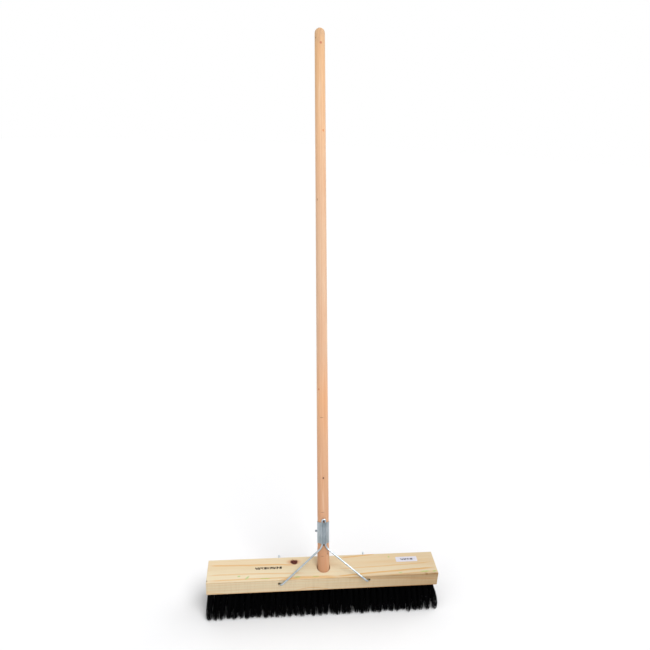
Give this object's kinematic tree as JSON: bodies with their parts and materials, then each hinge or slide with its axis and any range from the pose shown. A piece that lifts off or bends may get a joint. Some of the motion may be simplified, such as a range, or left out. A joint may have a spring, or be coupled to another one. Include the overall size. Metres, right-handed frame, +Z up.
{
  "type": "push broom",
  "caption": "Push broom with a flat wooden head, black bristle tufts, a leaning round wooden handle and a bent-rod stay clamped to the handle.",
  "frame": {"origin": "on the floor under the middle of the head, at the centre of the bristles' footprint", "axes": "+X along the head to the right as seen from the front, -Y the front where the stay is, +Z up; the handle leans back towards +Y"},
  "size_m": [0.6016, 0.7698, 1.4409],
  "materials": {
    "head_wood": "bare planed pine, matte",
    "handle_wood": "bare turned softwood, orange-pink, satin",
    "galvanised_rod": "bright zinc over drawn wire",
    "galvanised_sheet": "dull galvanised sheet",
    "zinc_fasteners": "zinc plated",
    "anchor_steel": "bare",
    "bristle": "black filament, faint sheen",
    "label": "white coated paper"
  },
  "bodies": {
    "root": {"head_block": "head_wood", "handle": "handle_wood", "stay_wire": "galvanised_rod", "clamp_strap": "galvanised_sheet", "clamp_bolt": "zinc_fasteners", "clamp_washer": "zinc_fasteners", "clamp_nut": "zinc_fasteners", "stay_washer_left": "zinc_fasteners", "stay_washer_right": "zinc_fasteners", "stay_nut_left": "zinc_fasteners", "stay_nut_right": "zinc_fasteners", "price_label": "label", "tuft_row_1": "bristle", "anchor_row_1": "anchor_steel", "tuft_row_2": "bristle", "anchor_row_2": "anchor_steel", "tuft_row_3": "bristle", "anchor_row_3": "anchor_steel", "tuft_row_4": "bristle", "anchor_row_4": "anchor_steel", "tuft_row_5": "bristle", "anchor_row_5": "anchor_steel"}
  },
  "joints": []
}
